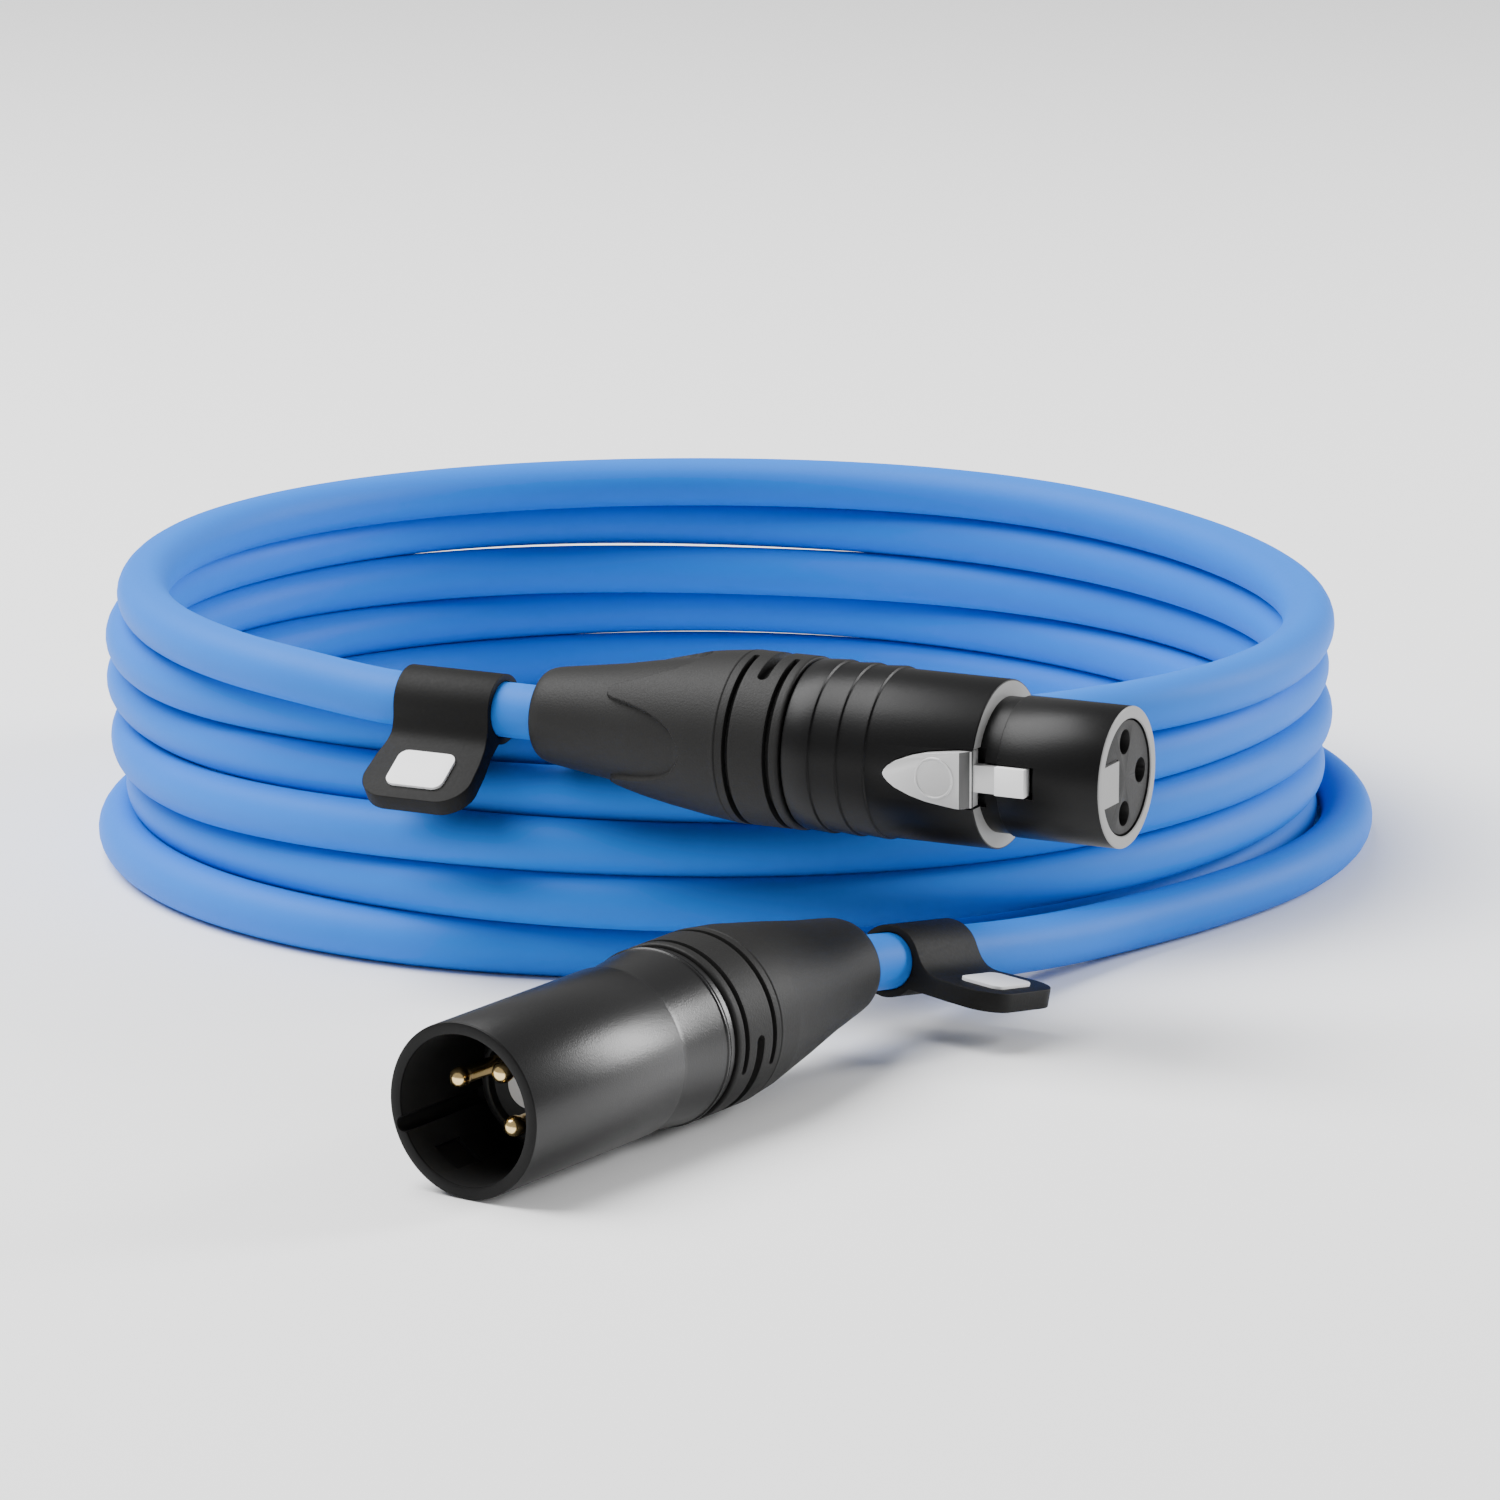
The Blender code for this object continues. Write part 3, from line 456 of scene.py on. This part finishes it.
def bushing_mesh(name, grooves, slots, scallops):
    """Surface by height: radius for each distance t behind the front edge and each angle."""
    cols = 720
    rows = [0.0, 0.04, 0.12, 0.22, 0.5, 0.8]
    for centre, width in ((1.5, 0.75), (4.0, 1.3), (6.6, 0.7)):
        n = max(8, int(width / 0.1))
        rows += [centre - width / 2 - 0.12, centre - width / 2 - 0.03, centre - width / 2 + 0.03]
        rows += [centre - width / 2 + 0.05 + (width - 0.1) * i / n for i in range(n + 1)]
        rows += [centre + width / 2 - 0.03, centre + width / 2 + 0.03, centre + width / 2 + 0.12]
    rows += [2.3, 2.8, 3.1, 5.0, 5.5, 5.9, 7.3, 7.7, 7.84, 7.88, 7.96, 8.0, 8.1, 8.25, 8.45, 8.8, 9.5, 10.5, 11.4, 12.0]
    rows += list(np.arange(12.2, 25.2, 0.16 if scallops else 0.8))
    rows += [25.6, 26.4, 27.2, 28.2, 29.2, 30.2, 31.2, 32.0, 32.6, 33.0, 33.3, 33.55, 33.72, 33.82]
    t = np.unique(np.round(rows, 3))
    psi = np.arange(cols) * 360.0 / cols
    T, P = np.meshgrid(t, psi, indexing="ij")
    outer = np.interp(T, [0, 0.04, 0.22, 7.84, 7.9, 7.98, 8.12, 8.45, 12.0, 20.0, 24.4, 26.0, 32.0, 32.8, 33.4, 33.7, 33.82],
                      [9.72, 9.86, 9.95, 9.97, 9.85, 9.85, 9.97, 9.9, 9.5, 8.3, 7.42, 7.05, 5.98, 5.78, 5.45, 5.1, 4.75])
    inner = np.interp(T, [0, 12.4, 13.6, 20.0, 24.0, 26.0, 32.0, 32.8, 33.4, 33.7, 33.82],
                      [20, 8.98, 8.66, 7.62, 6.86, 6.56, 5.70, 5.55, 5.3, 5.05, 4.75])
    if scallops:
        inside = np.zeros_like(T)
        for centre in scallops:
            off = np.abs((P - centre + 180) % 360 - 180)
            # half-width of the recess in degrees against t
            half = np.interp(T, [12.7, 12.9, 13.3, 14.2, 15.6, 17.5, 20.0, 21.8, 22.6, 23.0, 23.25, 23.4, 40],
                             [-2.0, 4.0, 9.0, 16.5, 22.5, 28.0, 33.5, 36.8, 38.6, 40.2, 42.4, 60.0, 60.0])
            inside = np.maximum(inside, step(half - off, 0.0, 0.9))
        tip_gone = step(T, 23.4, 0.2)
        inside = np.maximum(inside, tip_gone)
        radius = outer * (1 - inside) + inner * inside
    else:
        radius = np.interp(T, [0, 0.04, 0.22, 7.84, 7.9, 7.98, 8.12, 8.45, 12.0, 20.0, 26.0, 31.8, 32.6, 33.3, 33.7, 33.82],
                           [9.72, 9.86, 9.95, 9.97, 9.85, 9.85, 9.97, 9.9, 9.5, 8.0, 6.75, 5.76, 5.58, 5.3, 5.0, 4.7])
    for (centre, width, depth), spans in ((g, grooves) for g in ((1.5, 0.75, 0.85), (6.6, 0.7, 0.85))):
        radius = radius - depth * band_mask(T, P, centre, width, spans)
    radius = radius - 1.15 * band_mask(T, P, 4.0, 1.3, slots)
    verts, faces = [], []
    for i in range(len(t)):
        for j in range(cols):
            a = math.radians(psi[j])
            r = radius[i, j]
            back = t[i] if t[i] < 9.0 else 9.0 + (t[i] - 9.0) * (BUSH_REACH - 9.0) / 24.82
            verts.append((r * math.cos(a) * MM, r * math.sin(a) * MM, -back * MM))
    for i in range(len(t) - 1):
        for j in range(cols):
            k = (j + 1) % cols
            faces.append((i * cols + j, i * cols + k, (i + 1) * cols + k, (i + 1) * cols + j))
    # inside: bore of the tail end and the open front
    base = len(verts)
    end = BUSH_REACH
    back = [(4.2, -end - 0.08), (3.62, -end + 0.07), (3.5, -end + 0.42), (3.5, -28.0)]
    front = [(9.5, 0.0), (8.6, 0.0), (8.55, -0.2), (8.55, -11.5), (5.2, -24.0), (3.5, -26.0)]
    rings = front + list(reversed(back))
    for r, z in rings:
        for j in range(cols):
            a = math.radians(psi[j])
            verts.append((r * math.cos(a) * MM, r * math.sin(a) * MM, z * MM))
    chain = [0] + [base + cols * n for n in range(len(rings))] + [(len(t) - 1) * cols]
    for lo, hi in zip(chain, chain[1:]):
        for j in range(cols):
            k = (j + 1) % cols
            faces.append((lo + k, lo + j, hi + j, hi + k))
    mesh = bpy.data.meshes.new(name)
    mesh.from_pydata(verts, [], faces)
    bm = bmesh.new()
    bm.from_mesh(mesh)
    bmesh.ops.recalc_face_normals(bm, faces=bm.faces)
    bm.to_mesh(mesh)
    bm.free()
    mesh.shade_smooth()
    mesh.set_sharp_from_angle(angle=math.radians(50))
    return mesh


def band_mask(T, P, centre, width, spans):
    """1 inside a band of that width round part of the circle, with round ends."""
    mask = np.zeros_like(T)
    for start, end in spans:
        middle, half = (start + end) / 2, (end - start) / 2
        off = np.abs((P - middle + 180) % 360 - 180)
        past = np.maximum(0.0, np.radians(off - half) * 9.9 + width / 2)
        dist = np.hypot(T - centre, past)
        mask = np.maximum(mask, step(width / 2 - dist, 0.0, 0.07))
    return mask


F_SHELL_END, M_SHELL_END = 38.2, 35.5
new_object("female_boot", bushing_mesh("female_boot", [(-82, 100)], [(-145, -55), (78, 168)], (4, 94, 184, 274)),
           FEMALE @ Matrix.Translation((0, 0, -(F_SHELL_END + 0.3) * MM)), boot_charcoal, "cable",
           ("female_bushing",))
new_object("male_boot", bushing_mesh("male_boot", [(-110, 72)], [(-178, -88), (50, 140)], ()),
           MALE @ Matrix.Translation((0, 0, -(M_SHELL_END + 0.3) * MM)), boot_charcoal, "cable",
           ("male_bushing",))

# --------------------------------------------------------- female shell
def run_materials(profile, rule):
    """A material index for each run of a closed profile, by the rule for its two ends."""
    return [rule(a, b) for a, b in zip(profile, profile[1:] + profile[:1])]


def female_rule(a, b):
    if min(a[1], b[1]) > -0.2:
        return 1
    if a[1] == b[1] == -14.8:
        return 1
    return 2 if max(a[0], b[0]) < 7.6 else 0


FEMALE_PROFILE = [
    (7.82, 0.0), (7.93, -0.03), (8.0, -0.12), (8.0, -12.35), (7.94, -12.46), (7.7, -12.5), (7.7, -14.8),
    (9.4, -14.8), (9.53, -14.84), (9.6, -14.95), (9.6, -27.68), (9.63, -27.8), (9.83, -27.94), (9.86, -28.1),
    (9.62, -31.15), (9.65, -31.27), (9.85, -31.41), (9.88, -31.57), (9.64, -34.6), (9.67, -34.72), (9.88, -34.86),
    (9.91, -35.02), (9.74, -37.9), (9.6, -38.2), (8.25, -38.2), (8.25, -50.2),
    (7.2, -50.2), (7.2, -22.0), (6.6, -22.0), (6.6, -0.12), (6.72, 0.0),
]
shell = lathe("female_shell_look", FEMALE_PROFILE, 120, run_materials(FEMALE_PROFILE, female_rule))
W2 = 3.25
THUMB = [(14.9, W2), (16.5, 3.2), (18.3, 2.99), (20.2, 2.72), (22.05, 2.24), (23.9, 1.5), (24.7, 0.95), (25.2, 0.45),
         (25.4, 0.0)]
opening = [(14.0, W2 + 0.16)] + [(s, w + 0.16) for s, w in THUMB[1:-2]] + [(25.35, 0.55), (25.6, 0.0)]
window = prism([opening + [(s, -w) for s, w in reversed(opening[:-1])]], 6.4, facing(9.45))
SHELL_MATS = [shell_black, bare_rim, shell_inner]
look = bool_mesh(shell, [
    ("UNION", block((4.6, 4.7, 16.99), (4.65, 0, -8.495), mat_index=1)),
    ("DIFFERENCE", window),
    ("DIFFERENCE", block((5.0, 3.6, 9.4), (7.6, 0, -12.7), mat_index=2)),
    ("DIFFERENCE", rod(0.55, 8.4, (7.85, 0, -23.4), Matrix.Rotation(math.pi / 2, 4, "X"), mat_index=2)),
], "female_shell_look", mats=SHELL_MATS)
new_object("female_shell_look", look, FEMALE, [], "cable", ("female_shell",))

# carrier with its key notch and the three contact holes
carrier = lathe("female_carrier", [
    (0.0, -0.25), (6.28, -0.25), (6.4, -0.29), (6.46, -0.4), (6.46, -21.9), (0.0, -21.9)], 96, closed=False)
holes = [(CONTACT * math.cos(math.radians(a)), CONTACT * math.sin(math.radians(a)))
         for CONTACT in (4.1,) for a in (86.0, -86.0, 180.0)]
# the notch and contact-hole walls take the darker black, painted shade inside the recesses
carrier = bool_mesh(carrier, [("DIFFERENCE", block((5.9, 4.95, 19.0), (5.1, 0, -9.0), mat_index=1))]
                    + [("DIFFERENCE", rod(1.42, 30.0, (x, y, -8.0), mat_index=1)) for x, y in holes], "female_carrier",
                    bevel=0.07, mats=[carrier_grey, carrier_black_and_hole_shade])
new_object("female_carrier", carrier, FEMALE, [], "cable", ("female_insert",))

# ------------------------------------------------------------- the latch
plate = prism([THUMB + [(s, -w) for s, w in reversed(THUMB[:-1])]], 1.45, facing(9.3))
# the chamfer's cut face takes the darker nickel copy, painted shade on the lever's front slope
chamfer = block((5.0, 9.0, 3.0), (10.205, 0, -14.24), Matrix.Rotation(math.radians(37.7), 4, "Y"), mat_index=1)
lever = bool_mesh(plate, [("DIFFERENCE", chamfer)], "latch_plate", bevel=0.16, segments=3,
                  mats=[latch_nickel, latch_painted_shade])
new_object("latch_plate", lever, FEMALE, [], "latch", ("female_latch",))
thumb_ring = lathe("latch_thumb_ring", [
    (2.06, -0.1), (2.08, 0.02), (2.14, 0.11), (2.24, 0.14), (2.34, 0.11), (2.40, 0.02), (2.42, -0.1)], 72)
new_object("latch_thumb_ring", thumb_ring,
           FEMALE @ Matrix.Translation((10.025 * MM, 0, -19.05 * MM)) @ Matrix.Rotation(math.pi / 2, 4, "Y"),
           latch_nickel, "latch", ())
neck = bool_mesh(block((1.9, 2 * W2 - 0.06, 1.2), (8.0, 0, -15.6)), [
    ("UNION", block((1.2, 3.1, 4.2), (7.55, 0, -13.4))),
    ("UNION", block((1.9, 2.2, 3.0), (7.9, 0, -23.4)))], "latch_neck", bevel=0.1)
new_object("latch_neck", neck, FEMALE, latch_nickel, "latch", ())
# the hook takes the near-white copy, a painted highlight
hook = bool_mesh(block((1.7, 3.25, 3.6), (7.6, 0, -10.65)), [], "latch_hook", bevel=0.1)
new_object("latch_hook", hook, FEMALE, hook_painted_highlight, "latch", ())

# ----------------------------------------------------------- male shell
def male_rule(a, b):
    if min(a[1], b[1]) > -0.25:
        return 1
    # the flare's rim bevel takes the lighter, glossier copy: painted highlight
    if -34.8 < min(a[1], b[1]) and max(a[1], b[1]) < -33.75 and min(a[0], b[0]) > 9.0:
        return 3
    return 2 if max(a[0], b[0]) < 8.3 else 0


MALE_PROFILE = [
    (9.28, 0.0), (9.42, -0.05), (9.5, -0.18), (9.5, -26.28), (9.47, -26.37), (9.24, -26.43), (9.2, -26.6), (9.24, -27.4),
    (9.36, -29.4), (9.57, -31.6), (9.73, -33.2), (9.79, -33.78), (9.93, -33.9), (9.95, -34.05), (9.74, -34.62),
    (9.62, -34.75), (9.58, -35.5), (8.25, -35.5), (8.25, -47.5), (7.2, -47.5), (7.2, -14.5), (8.15, -14.5),
    (8.15, -0.22), (8.22, -0.06), (8.36, 0.0),
]
m_shell = lathe("male_shell_look", MALE_PROFILE, 128, run_materials(MALE_PROFILE, male_rule))


def male_dir(angle):
    return math.sin(math.radians(angle)), math.cos(math.radians(angle))


gx, gy = male_dir(-18.7)
pocket = block((1.2, 3.6, 4.2), (7.82, 0, -5.2), mat_index=2)
pocket.transform(Matrix.Rotation(math.radians(145.0), 4, "Z"))
look = bool_mesh(m_shell, [
    ("DIFFERENCE", rod(0.85, 14.2, (gx * 8.2, gy * 8.2, -6.9), mat_index=2)),
    ("DIFFERENCE", pocket),
], "male_shell_look", mats=[shell_satin, male_rim, shell_inner, shell_gloss_painted_highlight])
new_object("male_shell_look", look, MALE, [], "cable", ("male_shell",))

m_carrier = lathe("male_carrier", [
    (0.0, -12.3), (5.15, -12.3), (5.25, -11.45), (5.4, -11.3), (5.95, -11.3), (6.1, -11.45), (6.15, -12.6), (6.9, -12.65),
    (6.9, -29.5), (0.0, -29.5)], 96, closed=False)
pins = [(4.1 * male_dir(a)[0], 4.1 * male_dir(a)[1]) for a in (30.6, -149.4, 120.6)]
m_carrier = bool_mesh(m_carrier, [("DIFFERENCE", rod(1.47, 40.0, (x, y, -22.0))) for x, y in pins], "male_carrier",
                      bevel=0.06)
new_object("male_carrier", m_carrier, MALE, carrier_black_and_hole_shade, "cable", ("male_insert",))
boss = lathe("male_centre_boss", [
    (0.0, -10.9), (2.0, -10.9), (2.3, -10.98), (2.42, -11.15), (2.45, -11.4), (2.45, -12.3), (0.0, -12.3)], 64, closed=False)
new_object("male_centre_boss", boss, MALE, collet_white, "cable", ("male_boss",))
for n, (x, y) in enumerate(pins, 1):
    pin = lathe("male_pin_look_%d" % n, [
        (0.0, -3.2), (0.3, -3.24), (0.62, -3.35), (0.9, -3.57), (1.09, -3.9), (1.17, -4.35), (1.1, -4.8), (0.96, -5.1),
        (0.92, -5.45), (0.92, -11.4), (1.0, -11.8), (1.17, -12.0), (1.17, -35.0), (0.78, -35.0), (0.78, -30.5), (0.0, -30.5),
    ], 40, closed=False)
    new_object("male_pin_look_%d" % n, pin, MALE @ Matrix.Translation((x * MM, y * MM, 0)), contact_gold, "cable",
               ("male_pin_%d" % n,))


# ----------------------------------------------------------------- tags
TAG_IN, TAG_OUT, TAG_W, TAG_REACH = CABLE_R + 0.12, 4.12, 12.5, 15.4


def tag_frame(conn, s_start, side, below):
    d = (on_axis(conn, s_start + 1) - on_axis(conn, s_start)).normalized()
    up = Vector((0, 0, 1))
    out = d.cross(up).normalized() * side
    up = (up - d * up.dot(d)).normalized()
    b = math.radians(below)
    f = out * math.cos(b) - up * math.sin(b)
    m = out * math.sin(b) + up * math.cos(b)
    rot = Matrix((f, m, f.cross(m))).transposed().to_4x4()
    return Matrix.Translation(on_axis(conn, s_start + 12.6 / 2) * MM) @ rot


def tag_look(name, matrix, body, nodes):
    lo, hi = -2.55, -0.35
    a_lo = math.degrees(math.asin(lo / TAG_OUT))
    start = 32.0
    ca, sa = math.cos(math.radians(start)), math.sin(math.radians(start))
    flat = 7.3
    p0, p1 = (TAG_OUT * ca, TAG_OUT * sa), (TAG_OUT * ca + 2.1 * sa, TAG_OUT * sa - 2.1 * ca)
    p2, p3 = (flat - 2.0, hi), (flat, hi)
    blend = []
    for i in range(1, 16):
        u = i / 16
        w = ((1 - u) ** 3, 3 * u * (1 - u) ** 2, 3 * u * u * (1 - u), u ** 3)
        blend.append(tuple(sum(k * p[n] for k, p in zip(w, (p0, p1, p2, p3))) for n in (0, 1)))
    outline = [(TAG_REACH, lo), (TAG_REACH, hi), (flat, hi)] + list(reversed(blend))
    outline += arc(TAG_OUT, start, 360 + a_lo, 64)
    hole = arc(TAG_IN, 0, 354, 60)
    strap = prism([outline, hole], TAG_W + 3.0, Matrix.Identity(4))
    r, w0, w1 = 3.6, TAG_W / 2, 7.0
    side = [(-6.0, w0), (4.0, w0), (5.4, w0 + 0.03), (7.2, w0 + 0.3), (8.8, w0 + 0.55), (TAG_REACH - 0.1 - r, w1)]
    corner = arc(r, 90, 0, 14, (TAG_REACH - 0.1 - r, w1 - r))
    edge = side + corner
    keep = edge + [(f, -w) for f, w in reversed(edge)]
    mask = prism([keep], 40.0, Matrix(((1, 0, 0, 0), (0, 0, 1, 0), (0, 1, 0, 0), (0, 0, 0, 1))))
    body_mesh = bool_mesh(strap, [("INTERSECT", mask)], name, bevel=0.32, segments=3, angle=42)
    new_object(name, body_mesh, matrix, tag_rubber, body, (nodes[0],))
    # blank raised label
    rr, a, b = 1.2, 2.75, 3.7
    cx = TAG_REACH - 4.7
    label = []
    for sx, sz, a0 in ((1, 1, 0), (-1, 1, 90), (-1, -1, 180), (1, -1, 270)):
        label += arc(rr, a0, a0 + 90, 8, (cx + sx * (a - rr), sz * (b - rr)))
    label_mesh = prism([label], 0.5, Matrix(((1, 0, 0, 0), (0, 0, 1, (hi + 0.1) * MM), (0, 1, 0, 0), (0, 0, 0, 1))))
    label_mesh = bool_mesh(label_mesh, [], name + "_label", bevel=0.12, segments=3)
    new_object(name + "_label", label_mesh, matrix, mark_white, body, (nodes[1],))


tag_look("female_tag_look", tag_frame(FEMALE, 78.4, -1.0, 33.0), "female_tag_body", ("female_tag", "female_tag_mark"))
tag_look("male_tag_look", tag_frame(MALE_LEAD, 78.9 - MALE_BEND_S, 1.0, 5.0), "male_tag_body", ("male_tag", "male_tag_mark"))

# ----------------------------------- CAD nodes that keep their own shape
for node, mat in (
    ("female_contact_1", contact_gold), ("female_contact_2", contact_gold), ("female_contact_3", contact_gold),
    ("female_ground_contact", spring_steel), ("female_latch_pin", spring_steel), ("female_latch_spring", spring_steel),
    ("female_chuck", collet_white), ("male_chuck", collet_white),
    ("female_core_shield", shield_copper), ("female_core_hot", core_red), ("female_core_cold", core_white),
    ("male_core_shield", shield_copper), ("male_core_hot", core_red), ("male_core_cold", core_white),
):
    node_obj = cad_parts[node]
    for slot in node_obj.material_slots:
        slot.material = mat

# ------------------------------------------------------------ the stage
def stage_plane(name, size, matrix, mat):
    bm = bmesh.new()
    bmesh.ops.create_grid(bm, x_segments=1, y_segments=1, size=size)
    mesh = bpy.data.meshes.new(name)
    bm.to_mesh(mesh)
    bm.free()
    obj = bpy.data.objects.new(name, mesh)
    obj.matrix_world = matrix
    bpy.context.scene.collection.objects.link(obj)
    mesh.materials.append(mat)
    return obj


floor_mat, *_ = shader_base("floor_white", (0.93, 0.93, 0.93), 0.9)
stage_plane("floor", 6.0, Matrix.Identity(4), floor_mat)

world = bpy.data.worlds.new("studio")
world.use_nodes = True
world.node_tree.nodes["Background"].inputs["Color"].default_value = (1.0, 1.0, 1.0, 1.0)
world.node_tree.nodes["Background"].inputs["Strength"].default_value = 0.42
bpy.context.scene.world = world


def soft_light(name, location, target, size, energy, size_y=None):
    data = bpy.data.lights.new(name, "AREA")
    data.shape = "RECTANGLE" if size_y else "SQUARE"
    data.size = size
    if size_y:
        data.size_y = size_y
    data.energy = energy
    obj = bpy.data.objects.new(name, data)
    obj.location = location
    obj.rotation_euler = (Vector(target) - Vector(location)).to_track_quat("-Z", "Y").to_euler()
    bpy.context.scene.collection.objects.link(obj)
    return obj


soft_light("key", (-0.59, 0.11, 1.04), (0.0, 0.0, 0.0), 1.0, 37.0)
soft_light("strip", (0.97, 0.31, 0.385), (0.0, -0.05, 0.02), 0.28, 12.0, 0.5)
